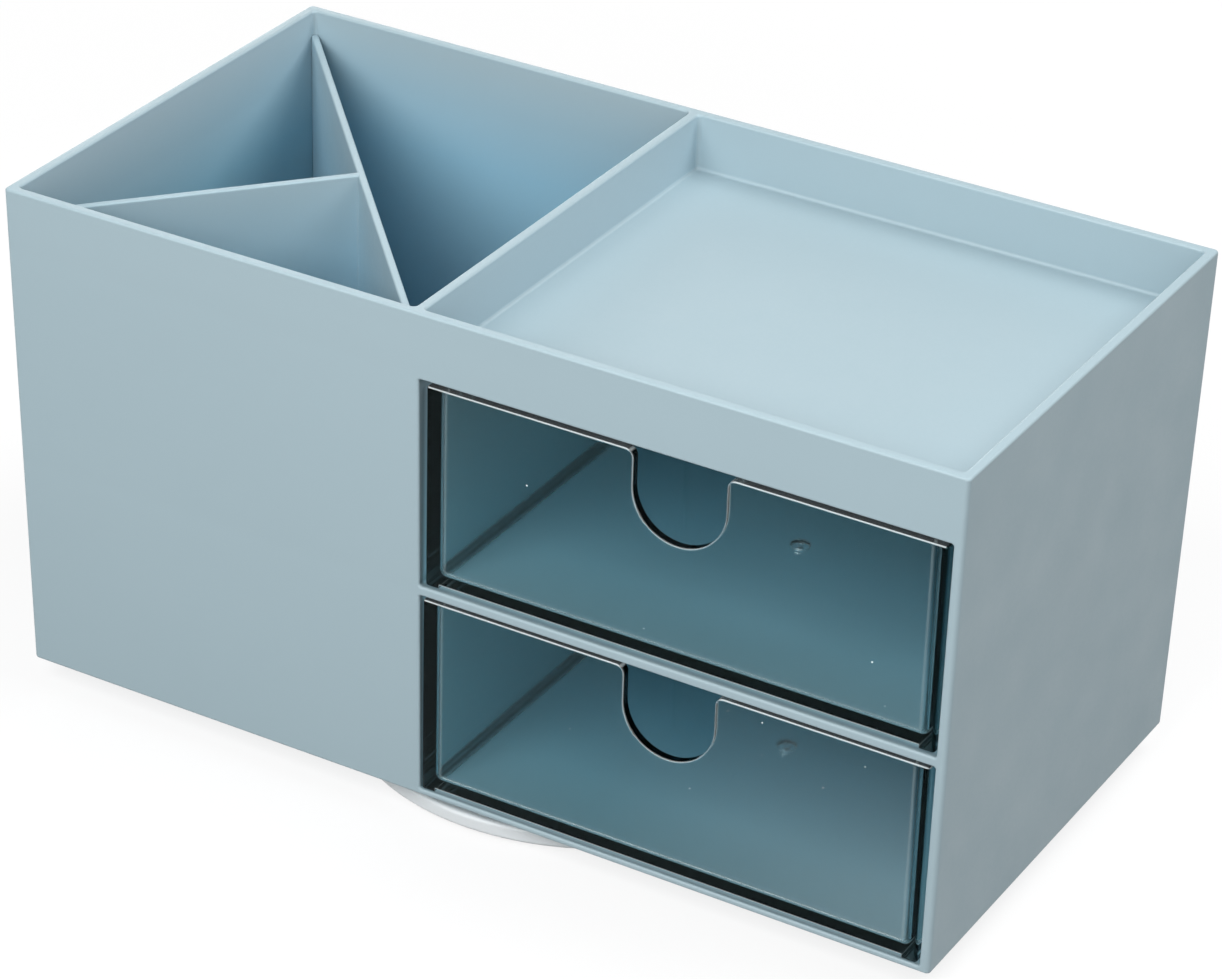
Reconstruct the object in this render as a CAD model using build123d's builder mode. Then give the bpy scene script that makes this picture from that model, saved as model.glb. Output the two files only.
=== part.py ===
"""Desktop organiser: a moulded housing with a divided bin, a tray and two drawers, on a swivel base."""

import os
from math import atan2, degrees, hypot, radians, tan

from build123d import *

os.makedirs("parts", exist_ok=True)

# Sizes are in millimetres, +Z is up, +X is right and the drawers open towards -Y.
# The origin is the middle of the swivel base, on the table.

# Housing, outside, measured at the rim
width = 200.0
depth = 102.2
draft_angle = 0.8
corner_round = 0.9
rim_round = 0.5
foot_round = 0.6

# Housing, walls across
rim_wall = 2.0
bin_width = 87.3
partition = 1.9
right_wall = 2.1
back_wall_foot = 1.5

# Housing, levels from the floor up
floor = 1.3
lower_bay_height = 42.6
shelf = 1.95
upper_bay_height = 43.2
tray_floor = 1.75
tray_depth = 11.6
tray_round = 0.7
pocket_step = 0.2
bay_corner = 0.5
opening_round = 0.5
opening_land = 0.15

# Divider insert
divider_wall = 1.5
divider_drop = 5.2
divider_clearance = 0.15
divider_round = 0.4

# Drawers
side_play = 0.45
drawer_setback = 1.8
back_clearance = 0.4
slide_clearance = 0.05
upper_top_gap = 1.85
lower_top_gap = 1.25
upper_left_gap = 0.65
lower_left_gap = 0.15
drawer_wall = 2.0
drawer_floor = 1.25
drawer_corner = 0.6
floor_round = 1.6
inside_step = 0.2
edge_round = 0.4
edge_land = 0.1
runner_height = 0.65
runner_width = 3.0
runner_round = 0.4
lip_round = 0.5
notch_width = 18.7
notch_depth = 16.5
notch_round = 1.8
gate_radius = 1.9
gate_depth = 0.75
gate_nub_radius = 0.6

# Swivel base
base_radius = 48.5
base_thickness = 3.2
base_round = 0.8
foot_margin = 3.5
foot_width = 6.0
foot_inset = 0.8
foot_height = 0.8
running_gap = 0.4
plate_margin = 8.5
plate_thickness = 1.4
plate_round = 0.4

# Ball race
race_margin = 8.0
ball_radius = 1.25
ball_count = 16
ball_seat = 0.6
race_clearance = 0.05
cage_width = 5.0
cage_thickness = 0.8
cage_clearance = 0.3
pocket_clearance = 0.15

# Pivot
hub_radius = 6.0
hub_clearance = 0.06
ledge_thickness = 1.6
washer_radius = 9.0
washer_thickness = 0.5
washer_gap = 0.1
washer_bore_clearance = 0.1
washer_room = 0.5
pivot_shank_radius = 1.5
pivot_skin = 0.5
pivot_head_radius = 3.4
pivot_head_height = 0.9
pilot_spare = 0.2

# Plate screws
screw_circle = 22.0
screw_count = 3
screw_radius = 1.1
screw_head_height = 1.1
screw_skin = 0.5
recess_width = 0.6
recess_length = 2.4
recess_depth = 0.5

# Levels and places that follow
base_bottom = foot_height
base_top = base_bottom + base_thickness
plate_bottom = base_top + running_gap
plate_top = plate_bottom + plate_thickness
floor_top = plate_top + floor
shelf_bottom = floor_top + lower_bay_height
shelf_top = shelf_bottom + shelf
ceiling = shelf_top + upper_bay_height
tray_top = ceiling + tray_floor
rim = tray_top + tray_depth
height = rim - plate_top
draft_slope = tan(radians(draft_angle))
draft_run = height * draft_slope

bin_depth = depth - 2 * rim_wall
bin_left = -width / 2 + rim_wall
bin_middle = bin_left + bin_width / 2
partition_right = bin_left + bin_width + partition
tray_width = width / 2 - rim_wall - partition_right
tray_middle = partition_right + tray_width / 2
pocket_round = tray_round + pocket_step

bay_back = depth / 2 - draft_run - back_wall_foot
bay_foot_right = width / 2 - right_wall - (rim - floor_top) * draft_slope
bay_foot_width = bay_foot_right - partition_right

drawer_front = -depth / 2 + drawer_setback
drawer_depth = bay_back - back_clearance - drawer_front
drawer_middle = drawer_front + drawer_depth / 2
drawer_width = bay_foot_width - 2 * side_play
upper_middle = partition_right + upper_left_gap + drawer_width / 2
lower_middle = partition_right + lower_left_gap + drawer_width / 2
inside_width = drawer_width - 2 * drawer_wall
inside_depth = drawer_depth - 2 * drawer_wall
inside_corner = floor_round + inside_step
drawer_edge = min(edge_round, drawer_corner - edge_land, drawer_wall / 2 - edge_land)
runner_edge = min(runner_round, drawer_corner - edge_land, runner_height - edge_land)
lip_edge = min(lip_round, drawer_floor - edge_land)
wall_room = right_wall - corner_round - opening_land
floor_room = floor - foot_round - opening_land
shelf_room = (shelf - opening_land) / 2
opening_edge = min(opening_round, wall_room, floor_room, shelf_room)

foot_outer = base_radius - foot_margin
foot_inner = foot_outer - foot_width
plate_radius = base_radius - plate_margin
race_radius = plate_radius - race_margin
ball_level = plate_bottom + ball_seat - ball_radius
groove_radius = ball_radius + race_clearance
channel_depth = base_top - ball_level + cage_thickness / 2 + cage_clearance
ledge_bottom = base_top - ledge_thickness
hub_bottom = ledge_bottom - washer_gap
washer_bottom = hub_bottom - washer_thickness
pivot_shank_grip = plate_top - hub_bottom - pivot_skin
screw_grip = floor - screw_skin
screw_head_radius = screw_radius + screw_head_height
screw_start_angle = 180 / screw_count


def upright_edges(part):
    """Edges that stand within a few degrees of vertical."""
    return part.edges().filter_by(lambda edge: abs((edge @ 1 - edge @ 0).normalized().Z) > 0.99)


def drafted_block(middle, top_width, top_depth, block_height, upright_round):
    """A block that hangs from the rim and narrows downwards, with its upright edges rounded."""
    with BuildPart() as block:
        with BuildSketch(Plane.XY.offset(rim)):
            with Locations((middle, 0)):
                Rectangle(top_width, top_depth)
        extrude(amount=-block_height)
        draft(block.faces().filter_by(Axis.Z, reverse=True), Plane.XY.offset(rim), -draft_angle)
        fillet(upright_edges(block), upright_round)
    return block.part


def facing_down(level):
    """The plane at a level that looks at the table, with X kept to the right."""
    return Plane(origin=(0, 0, level), x_dir=(1, 0, 0), z_dir=(0, 0, -1))


def save(builder, node):
    """Label a finished piece and write it as one STEP file."""
    builder.part.label = node
    export_step(builder.part, f"parts/{node}.step")


# Housing: a drafted block, hollowed from above for the bin and tray and from the front for the drawers
outside = drafted_block(0, width, depth, height, corner_round)
bin_space = drafted_block(bin_middle, bin_width, bin_depth, rim - floor_top, pocket_round)
tray_space = drafted_block(tray_middle, tray_width, bin_depth, tray_depth, pocket_round)
with BuildPart() as body_shell:
    add(outside)
    add(bin_space, mode=Mode.SUBTRACT)
    add(tray_space, mode=Mode.SUBTRACT)
    tray_bed = body_shell.faces().filter_by(Axis.Z).sort_by(Axis.Z)[-2]
    fillet(tray_bed.edges(), tray_round)

    for bay_floor, bay_ceiling in ((floor_top, shelf_bottom), (shelf_top, ceiling)):
        lean = (bay_floor - floor_top) * draft_slope
        widening = (bay_ceiling - bay_floor) * draft_slope
        with BuildSketch(Plane.XZ.offset(-bay_back)) as bay:
            with BuildLine():
                Polyline(
                    (partition_right, bay_floor),
                    (bay_foot_right + lean, bay_floor),
                    (bay_foot_right + lean + widening, bay_ceiling),
                    (partition_right, bay_ceiling),
                    close=True,
                )
            make_face()
            fillet(bay.vertices(), bay_corner)
        extrude(amount=bay_back + depth, mode=Mode.SUBTRACT)

    front_face = body_shell.faces().sort_by(Axis.Y)[0]
    fillet([edge for wire in front_face.inner_wires() for edge in wire.edges()], opening_edge)
    fillet(body_shell.edges().group_by(Axis.Z)[-1], rim_round)
    fillet(body_shell.edges().group_by(Axis.Z)[0], foot_round)

    with BuildSketch(Plane.XY.offset(plate_top)):
        with PolarLocations(screw_circle, screw_count, start_angle=screw_start_angle):
            Circle(screw_radius)
    extrude(amount=screw_grip + pilot_spare, mode=Mode.SUBTRACT)
save(body_shell, "body_shell")


# Divider: one wall from corner to corner of the bin and a half wall to the front-left corner
diagonal = hypot(bin_width, bin_depth)
slope = degrees(atan2(bin_depth, bin_width))
divider_foot = floor_top + slide_clearance
divider_width = bin_width - 2 * divider_clearance
divider_depth = bin_depth - 2 * divider_clearance
divider_space = drafted_block(bin_middle, divider_width, divider_depth, rim - floor_top, pocket_round)
with BuildPart() as bin_divider:
    with BuildSketch(Plane.XY.offset(divider_foot)):
        with Locations((bin_middle, 0)):
            Rectangle(diagonal, divider_wall, rotation=-slope)
        with Locations((bin_middle - bin_width / 4, -bin_depth / 4)):
            Rectangle(diagonal / 2, divider_wall, rotation=slope)
    extrude(amount=rim - divider_drop - divider_foot)
    add(divider_space, mode=Mode.INTERSECT)
    top_edges = bin_divider.edges().group_by(Axis.Z)[-1]
    fillet(top_edges.filter_by(lambda edge: edge.length > 4 * divider_wall), divider_round)
save(bin_divider, "bin_divider")


def build_drawer(node, bay_floor, bay_height, top_gap, middle):
    """A see-through drawer on two low runners, with a finger notch in its front."""
    foot = bay_floor + slide_clearance
    bed = foot + runner_height + drawer_floor
    top = bay_floor + bay_height - top_gap
    with BuildPart() as drawer:
        with BuildSketch(Plane.XY.offset(foot)):
            with Locations((middle, drawer_middle)):
                RectangleRounded(drawer_width, drawer_depth, drawer_corner)
        extrude(amount=top - foot)

        with BuildSketch(Plane.XY.offset(bed)):
            with Locations((middle, drawer_middle)):
                RectangleRounded(inside_width, inside_depth, inside_corner)
        extrude(amount=top - bed, mode=Mode.SUBTRACT)
        inside_bed = drawer.faces().filter_by(Axis.Z).sort_by(Axis.Z)[1]
        fillet(inside_bed.edges(), floor_round)

        with BuildSketch(Plane.XZ.offset(-drawer_front)):
            notch_low = top - notch_depth + notch_width / 2
            with Locations((middle, notch_low)):
                Circle(notch_width / 2)
            with Locations((middle, (notch_low + top) / 2)):
                Rectangle(notch_width, top - notch_low)
        extrude(amount=-drawer_wall, mode=Mode.SUBTRACT)
        notch_corners = drawer.edges().filter_by(Axis.Y).group_by(Axis.Z)[-1].filter_by_position(
            Axis.X, middle - notch_width, middle + notch_width
        )
        fillet(notch_corners, notch_round)
        fillet(drawer.edges().group_by(Axis.Z)[-1], drawer_edge)

        with BuildSketch(Plane.XY.offset(foot)):
            with Locations((middle, drawer_middle)):
                Rectangle(drawer_width - 2 * runner_width, drawer_depth)
        extrude(amount=runner_height, mode=Mode.SUBTRACT)
        lips = drawer.edges().filter_by(Axis.X).group_by(Axis.Z)[1]
        fillet(lips, lip_edge)
        fillet(drawer.edges().group_by(Axis.Z)[0], runner_edge)

        with BuildSketch(Plane.XY.offset(bed)):
            with Locations((middle, drawer_middle)):
                Circle(gate_radius)
                Circle(gate_nub_radius, mode=Mode.SUBTRACT)
        extrude(amount=-gate_depth, mode=Mode.SUBTRACT)
    save(drawer, node)


build_drawer("drawer_upper", shelf_top, upper_bay_height, upper_top_gap, upper_middle)
build_drawer("drawer_lower", floor_top, lower_bay_height, lower_top_gap, lower_middle)


# Swivel plate: a flat disc under the housing with a hub and half of the ball groove
with BuildPart() as swivel_plate:
    with BuildSketch(Plane.XY.offset(plate_bottom)):
        Circle(plate_radius)
    extrude(amount=plate_thickness)
    fillet(swivel_plate.edges().group_by(Axis.Z)[0], plate_round)
    with BuildSketch(Plane.XY.offset(hub_bottom)):
        Circle(hub_radius)
    extrude(amount=plate_bottom - hub_bottom)
    with BuildSketch(Plane.XZ):
        with Locations((race_radius, ball_level)):
            Circle(groove_radius)
    revolve(axis=Axis.Z, mode=Mode.SUBTRACT)
    with Locations(facing_down(hub_bottom)):
        Hole(pivot_shank_radius, depth=pivot_shank_grip + pilot_spare)
    with Locations(facing_down(plate_bottom)):
        with PolarLocations(screw_circle, screw_count, start_angle=screw_start_angle):
            CounterSinkHole(screw_radius, screw_head_radius, plate_thickness, counter_sink_angle=90)
save(swivel_plate, "swivel_plate")


# Plate screws: countersunk heads flush with the plate's underside
with BuildPart() as plate_screws:
    with BuildSketch(Plane.XY.offset(plate_bottom)):
        with PolarLocations(screw_circle, screw_count, start_angle=screw_start_angle):
            Circle(screw_head_radius)
    extrude(amount=screw_head_height, taper=45)
    with BuildSketch(Plane.XY.offset(plate_bottom)):
        with PolarLocations(screw_circle, screw_count, start_angle=screw_start_angle):
            Circle(screw_radius)
    extrude(amount=plate_thickness + screw_grip)
    with BuildSketch(Plane.XY.offset(plate_bottom)):
        with PolarLocations(screw_circle, screw_count, start_angle=screw_start_angle):
            Rectangle(recess_length, recess_width)
            Rectangle(recess_width, recess_length)
    extrude(amount=recess_depth, mode=Mode.SUBTRACT)
save(plate_screws, "plate_screws")


# Swivel base: a disc with the pivot hole, the cage channel, half of the ball groove and the foot groove
with BuildPart() as swivel_base:
    with BuildSketch(Plane.XY.offset(base_bottom)):
        Circle(base_radius)
    extrude(amount=base_thickness)
    fillet(swivel_base.edges(), base_round)
    with BuildSketch(Plane.XY.offset(base_bottom)):
        Circle(foot_outer)
        Circle(foot_inner, mode=Mode.SUBTRACT)
    extrude(amount=foot_inset, mode=Mode.SUBTRACT)
    with BuildSketch(Plane.XY.offset(base_top)):
        Circle(race_radius + cage_width / 2 + cage_clearance)
        Circle(race_radius - cage_width / 2 - cage_clearance, mode=Mode.SUBTRACT)
    extrude(amount=-channel_depth, mode=Mode.SUBTRACT)
    with BuildSketch(Plane.XZ):
        with Locations((race_radius, ball_level)):
            Circle(groove_radius)
    revolve(axis=Axis.Z, mode=Mode.SUBTRACT)
    with Locations(facing_down(base_bottom)):
        CounterBoreHole(hub_radius + hub_clearance, washer_radius + washer_room, ledge_bottom - base_bottom)
save(swivel_base, "swivel_base")


# Foot ring: a rubber band let into the underside of the base
with BuildPart() as foot_ring:
    with BuildSketch(Plane.XY):
        Circle(foot_outer)
        Circle(foot_inner, mode=Mode.SUBTRACT)
    extrude(amount=foot_height + foot_inset)
save(foot_ring, "foot_ring")


# Ball cage: a thin ring with one pocket for each ball
with BuildPart() as ball_cage:
    with BuildSketch(Plane.XY.offset(ball_level - cage_thickness / 2)):
        Circle(race_radius + cage_width / 2)
        Circle(race_radius - cage_width / 2, mode=Mode.SUBTRACT)
        with PolarLocations(race_radius, ball_count):
            Circle(ball_radius + pocket_clearance, mode=Mode.SUBTRACT)
    extrude(amount=cage_thickness)
save(ball_cage, "ball_cage")


# Bearing balls: one ring of loose balls between the base and the plate
with BuildPart() as bearing_balls:
    with Locations((0, 0, ball_level)):
        with PolarLocations(race_radius, ball_count):
            Sphere(ball_radius)
save(bearing_balls, "bearing_balls")


# Pivot washer: held against the hub, it keeps the base from dropping off
with BuildPart() as pivot_washer:
    with BuildSketch(Plane.XY.offset(washer_bottom)):
        Circle(washer_radius)
        Circle(pivot_shank_radius + washer_bore_clearance, mode=Mode.SUBTRACT)
    extrude(amount=washer_thickness)
save(pivot_washer, "pivot_washer")


# Pivot screw: a low round head under the washer and a shank up into the hub
with BuildPart() as pivot_screw:
    with BuildSketch(Plane.XY.offset(washer_bottom)):
        Circle(pivot_head_radius)
    extrude(amount=-pivot_head_height)
    fillet(pivot_screw.edges().group_by(Axis.Z)[0], pivot_head_height / 2)
    with BuildSketch(Plane.XY.offset(washer_bottom)):
        Circle(pivot_shank_radius)
    extrude(amount=washer_thickness + pivot_shank_grip)
    with BuildSketch(Plane.XY.offset(washer_bottom - pivot_head_height)):
        Rectangle(recess_length, recess_width)
        Rectangle(recess_width, recess_length)
    extrude(amount=recess_depth, mode=Mode.SUBTRACT)
save(pivot_screw, "pivot_screw")
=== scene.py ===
"""Looks of a desktop organiser: a moulded housing with two see-through drawers on a swivel base.

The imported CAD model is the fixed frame. Every operator below dresses one piece, or one group of like
pieces, with a finish made of shader nodes. All lengths are in metres, in the frame of the CAD model.
"""

import math

import bpy
from mathutils import Euler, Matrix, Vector


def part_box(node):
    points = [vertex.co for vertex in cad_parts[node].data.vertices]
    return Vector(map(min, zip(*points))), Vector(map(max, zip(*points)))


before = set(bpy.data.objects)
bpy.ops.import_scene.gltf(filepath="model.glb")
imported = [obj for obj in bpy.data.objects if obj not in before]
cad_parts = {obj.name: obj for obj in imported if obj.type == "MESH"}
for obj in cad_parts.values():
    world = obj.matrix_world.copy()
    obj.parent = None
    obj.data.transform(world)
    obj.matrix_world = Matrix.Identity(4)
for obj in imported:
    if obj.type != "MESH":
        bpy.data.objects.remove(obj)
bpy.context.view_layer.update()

bl_info = {
    "name": "Desktop Organiser",
    "version": (1, 0, 0),
    "blender": (4, 5, 0),
    "location": "View3D > Sidebar > Organiser",
    "description": "Dresses a moulded organiser with see-through drawers and sets it on a plain stage",
    "category": "Object",
}

MM = 0.001
WHITE = (1.0, 1.0, 1.0, 1.0)
PLASTIC_IOR = 1.5

# Places of the colour sockets on a mix node, whose sockets share their names.
MIX_FIRST = 6
MIX_SECOND = 7
MIX_RESULT = 2

# Kinds of cloudy noise: how many layers of finer lumps they have, and how strong the finer layers are.
SOFT = (1.0, 0.5)
PLAIN = (2.0, 0.5)
CRISP = (2.0, 0.6)
CLOUDY = (3.0, 0.5)
PATCHY = (4.0, 0.5)
RAGGED = (4.0, 0.6)
DUSTY = (5.0, 0.65)

# Most of a cloudy noise lies between these two levels.
NOISE_LOW = 0.3
NOISE_HIGH = 0.7

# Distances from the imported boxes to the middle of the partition, of the shelf and of the tray's floor.
PARTITION_OFFSET = 1.1 * MM
SHELF_OFFSET = 1.0 * MM
TRAY_OFFSET = 12.5 * MM

# The lean of the housing's outer walls.
WALL_DRAFT = math.radians(0.8)

shell_low, shell_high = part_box("body_shell")
upper_low, upper_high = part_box("drawer_upper")
lower_low, lower_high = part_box("drawer_lower")
partition_middle = lower_low.x - PARTITION_OFFSET
shell_lean = math.tan(WALL_DRAFT) * (shell_high.z - shell_low.z)


def feed(tree, socket, value):
    """Link a socket's output into an input, or write a plain value on the input itself."""
    if isinstance(value, bpy.types.NodeSocket):
        tree.links.new(value, socket)
    else:
        socket.default_value = value


def add(tree, kind, inputs=None, **settings):
    """Add one shader node, set its own options and feed its inputs by name or by place."""
    made = tree.nodes.new("ShaderNode" + kind)
    for name, value in settings.items():
        setattr(made, name, value)
    for key, value in (inputs or {}).items():
        feed(tree, made.inputs[key], value)
    return made


def calc(tree, operation, first, second=None, clamp=False):
    """One step of arithmetic on one or two sockets or numbers."""
    made = add(tree, "Math", {0: first}, operation=operation, use_clamp=clamp)
    if second is not None:
        feed(tree, made.inputs[1], second)
    return made.outputs[0]


def product(tree, first, *others):
    """Several sockets or numbers multiplied with each other."""
    for other in others:
        first = calc(tree, "MULTIPLY", first, other)
    return first


def largest(tree, first, *others):
    """The largest of several sockets or numbers."""
    for other in others:
        first = calc(tree, "MAXIMUM", first, other)
    return first


def is_above(tree, value, level):
    """1 where a value is greater than a level, else 0."""
    return calc(tree, "GREATER_THAN", value, level)


def is_below(tree, value, level):
    """1 where a value is less than a level, else 0."""
    return calc(tree, "LESS_THAN", value, level)


def spread(tree, value, low, high, to_low, to_high):
    """Carry a value from one range to another, and hold it at the ends."""
    ranged = {"Value": value, "From Min": low, "From Max": high, "To Min": to_low, "To Max": to_high}
    return add(tree, "MapRange", ranged).outputs["Result"]


def blend_colours(tree, share, first, second):
    """Mix two colours by a share from 0 to 1."""
    mix = add(tree, "Mix", {"Factor": share}, data_type="RGBA")
    feed(tree, mix.inputs[MIX_FIRST], first)
    feed(tree, mix.inputs[MIX_SECOND], second)
    return mix.outputs[MIX_RESULT]


def tinted(colour, factor=1.0):
    """A colour made lighter or darker, with the alpha that a colour socket asks for."""
    return tuple(min(channel * factor, 1.0) for channel in colour[:3]) + (1.0,)


def two_tones(colour, factors):
    """A colour made lighter or darker in two ways, to drift between."""
    return [tinted(colour, factor) for factor in factors]


def split(tree, vector, axes):
    """The parts of a vector along the given axes, such as "XZ"."""
    parts = add(tree, "SeparateXYZ", {0: vector})
    return [parts.outputs[axis] for axis in axes]


def facing(tree, axes):
    """How squarely a surface faces along each of the given axes, either way, from 0 to 1."""
    normal = add(tree, "TexCoord").outputs["Normal"]
    return [calc(tree, "ABSOLUTE", part) for part in split(tree, normal, axes)]


def grain(tree, place, size, kind=PLAIN):
    """Cloudy noise whose lumps are about the given size across."""
    detail, roughness = kind
    lumps = {"Vector": place, "Scale": 1.0 / size, "Detail": detail, "Roughness": roughness}
    return add(tree, "TexNoise", lumps).outputs["Fac"]


def drift(tree, noise, low, high):
    """A noise carried to a range, for a value that drifts over a surface."""
    return spread(tree, noise, NOISE_LOW, NOISE_HIGH, low, high)


def stretched(tree, place, scale, turn=(0.0, 0.0, 0.0)):
    """The same place in a frame that is turned and stretched, for marks that run one way."""
    return add(tree, "Mapping", {"Vector": place, "Rotation": turn, "Scale": scale}).outputs["Vector"]


# How alike the true and the rounded normal are on an open face, and on a full edge.
OPEN_FACE = 0.99
FULL_EDGE = 0.8
EDGE_SAMPLES = 6

# The patches that wear leaves on edges: their size, and the noise where they begin and are full.
RUB_PATCH = 9 * MM
RUB_BEGINS = 0.42
RUB_FULL = 0.62
RUB_LEAST = 0.15


def edge_near(tree, reach):
    """How much a surface bends within reach: 0 on an open face, 1 on an edge."""
    rounded = add(tree, "Bevel", {"Radius": reach}, samples=EDGE_SAMPLES)
    flat = add(tree, "NewGeometry")
    pair = {0: rounded.outputs["Normal"], 1: flat.outputs["Normal"]}
    alike = add(tree, "VectorMath", pair, operation="DOT_PRODUCT").outputs["Value"]
    return spread(tree, alike, OPEN_FACE, FULL_EDGE, 0.0, 1.0)


def edge_rub(tree, reach, place):
    """Edges within reach, broken up into patches as handling wears them."""
    patches = spread(tree, grain(tree, place, RUB_PATCH, PATCHY), RUB_BEGINS, RUB_FULL, RUB_LEAST, 1.0)
    return product(tree, edge_near(tree, reach), patches)


def raise_surface(tree, height, depth, under=None):
    """Bump of a real depth in metres, laid over an earlier bump where one is given."""
    bump = add(tree, "Bump", {"Height": height, "Distance": depth, "Strength": 1.0})
    if under is not None:
        feed(tree, bump.inputs["Normal"], under)
    return bump.outputs["Normal"]


def sink_lines(tree, place, lines, width):
    """Shallow troughs in the outer faces where a rib or a floor joins the wall behind them."""
    total = 0.0
    for axis, middle in lines:
        (along,) = split(tree, place, axis)
        away = calc(tree, "DIVIDE", calc(tree, "SUBTRACT", along, middle), width)
        trough = calc(tree, "EXPONENT", product(tree, away, away, -1.0))
        total = calc(tree, "ADD", total, trough)
    return product(tree, total, -1.0)


# How far inside the outer skin a face begins to count as an inner one, and where it fully does.
OUTER_SKIN = 0.8 * MM
INNER_SKIN = 1.6 * MM

# Depths below the rim where the painted shade of the bin and of the bays begins, and where it is full.
BIN_SHADE_DEPTHS = (2 * MM, 24 * MM)
BAY_SHADE_DEPTHS = (13 * MM, 50 * MM)

# Distances behind the drawers' fronts between which the bays' painted light and shade change, and their
# shares at the back.
BAY_WALL_REACH = (5 * MM, 75 * MM)
BAY_WALL_SHARE = 0.25
BAY_BACK_REACH = (4 * MM, 45 * MM)
BAY_BACK_SHARE = 0.7

# How squarely a wall faces left or right where a side wall's painted light and shade begin, and where they
# are full.
BAY_WALL_TURN = (0.3, 0.7)
SIDE_WALL_TURN = (0.85, 0.97)


def inner_share(tree, place):
    """1 on the housing's inner faces and 0 on its outer ones, which lean in towards the foot."""
    x, y, z = split(tree, place, "XYZ")
    lean = spread(tree, z, shell_low.z, shell_high.z, shell_lean, 0.0)
    side_room = calc(tree, "SUBTRACT", shell_high.x, calc(tree, "ABSOLUTE", x))
    end_room = calc(tree, "SUBTRACT", shell_high.y, calc(tree, "ABSOLUTE", y))
    room = calc(tree, "SUBTRACT", calc(tree, "MINIMUM", side_room, end_room), lean)
    return spread(tree, room, OUTER_SKIN, INNER_SKIN, 0.0, 1.0)


def below_rim(tree, height, depths):
    """0 above the first of two depths below the rim, and 1 below the second."""
    begins, full = depths
    return spread(tree, height, shell_high.z - full, shell_high.z - begins, 1.0, 0.0)


def towards_back(tree, y, reach, front, back):
    """A value that changes between two distances behind the upper drawer's front."""
    begins, ends = reach
    return spread(tree, y, upper_low.y + begins, upper_low.y + ends, front, back)


def painted_bay_shading(tree, place, look):
    """Painted light and shade in the drawer bays: shade that turns bluer towards the back, and light on the
    side walls.
    """
    (y,) = split(tree, place, "Y")
    (across,) = facing(tree, "X")
    # Painted shade, bluer towards the back, and painted light on the side walls near the front.
    back_share = towards_back(tree, y, BAY_BACK_REACH, 0.0, BAY_BACK_SHARE)
    tone = blend_colours(tree, back_share, tinted(look.bay_shade_colour), tinted(look.bay_back_shade_colour))
    side_wall = spread(tree, across, *BAY_WALL_TURN, 0.0, 1.0)
    near_front = towards_back(tree, y, BAY_WALL_REACH, 1.0, BAY_WALL_SHARE)
    return blend_colours(tree, product(tree, side_wall, near_front), tone, tinted(look.bay_wall_light_colour))


def painted_inner_shading(tree, place, look, outer, bin_shade_share):
    """The outer colour, with painted light and shade on the inner faces: shade deeper in the bin and in the
    drawer bays, and light high on the side walls with shade lower down.
    """
    x, z = split(tree, place, "XZ")
    (across,) = facing(tree, "X")
    inner = inner_share(tree, place)
    in_bin = is_below(tree, x, partition_middle)
    right_of_bin = calc(tree, "SUBTRACT", 1.0, in_bin)
    deep = product(tree, in_bin, below_rim(tree, z, BIN_SHADE_DEPTHS))
    # Painted shade: the bin's inner faces turn darker and bluer below the rim.
    tone = blend_colours(tree, product(tree, inner, deep, bin_shade_share), outer, tinted(look.bin_shade_colour))
    # Painted light high on the side walls, and painted shade lower down.
    side_wall = spread(tree, across, *SIDE_WALL_TURN, 0.0, 1.0)
    wall = blend_colours(tree, deep, tinted(look.wall_colour), tinted(look.deep_wall_shade_colour))
    tone = blend_colours(tree, product(tree, inner, side_wall), tone, wall)
    # Painted light and shade in the drawer bays.
    of_bays = product(tree, inner, right_of_bin, below_rim(tree, z, BAY_SHADE_DEPTHS))
    return blend_colours(tree, of_bays, tone, painted_bay_shading(tree, place, look))


# How far the bays reach above the upper drawer, and the strip before a drawer behind its front.
BAY_HEADROOM = 2.5 * MM
STRIP_DEPTH = 1 * MM

# How open a place is where its shade is full, and where it ends.
CORNER_OPEN = (0.55, 0.95)
STRIP_OPEN = (0.4, 0.85)
SHADE_SAMPLES = 8


def gap_shade(tree, place, look):
    """Painted shade: how dark the corners of the drawer bays and the narrow strip before each drawer are,
    else 0.
    """
    x, y, z = split(tree, place, "XYZ")
    right_of_bin = is_above(tree, x, partition_middle)
    under_tray = is_below(tree, z, upper_high.z + BAY_HEADROOM)
    corner_reach = {"Distance": look.corner_reach}
    corner = add(tree, "AmbientOcclusion", corner_reach, samples=SHADE_SAMPLES, only_local=True)
    corner_dark = spread(tree, corner.outputs["AO"], *CORNER_OPEN, look.corner_dark, 0.0)
    strip = add(tree, "AmbientOcclusion", {"Distance": look.strip_reach}, samples=SHADE_SAMPLES)
    strip_dark = spread(tree, strip.outputs["AO"], *STRIP_OPEN, look.strip_dark, 0.0)
    before_drawer = spread(tree, y, upper_low.y, upper_low.y + STRIP_DEPTH, 1.0, 0.0)
    dark = largest(tree, corner_dark, product(tree, strip_dark, before_drawer))
    return product(tree, right_of_bin, under_tray, dark)


def new_finish(name):
    """A material with an empty node tree, its output and the object's own coordinates."""
    finish = bpy.data.materials.new(name)
    finish.use_nodes = True
    tree = finish.node_tree
    tree.nodes.clear()
    output = add(tree, "OutputMaterial")
    place = add(tree, "TexCoord").outputs["Object"]
    return finish, tree, output, place


def coat(tree, output, skin):
    """Close a finish with one shader whose sockets are given by name."""
    shader = add(tree, "BsdfPrincipled", skin)
    feed(tree, output.inputs["Surface"], shader.outputs["BSDF"])


def dress(node, finish):
    """Give a CAD node its finish in every slot."""
    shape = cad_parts[node]
    if not shape.material_slots:
        raise RuntimeError(f"{node} has no material slot to dress")
    for slot in shape.material_slots:
        slot.material = finish


# Marks on the matte plastic: their sizes, and how far they move its roughness.
SMUDGE_SIZE = 14 * MM
SMUDGE_ROUGH = (-0.06, 0.06)
SPECKLE_SIZE = 0.8 * MM
SPECKLE_ROUGH = (-0.03, 0.03)
RUB_POLISH = 0.08
WAVE_SIZE = 22 * MM


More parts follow.
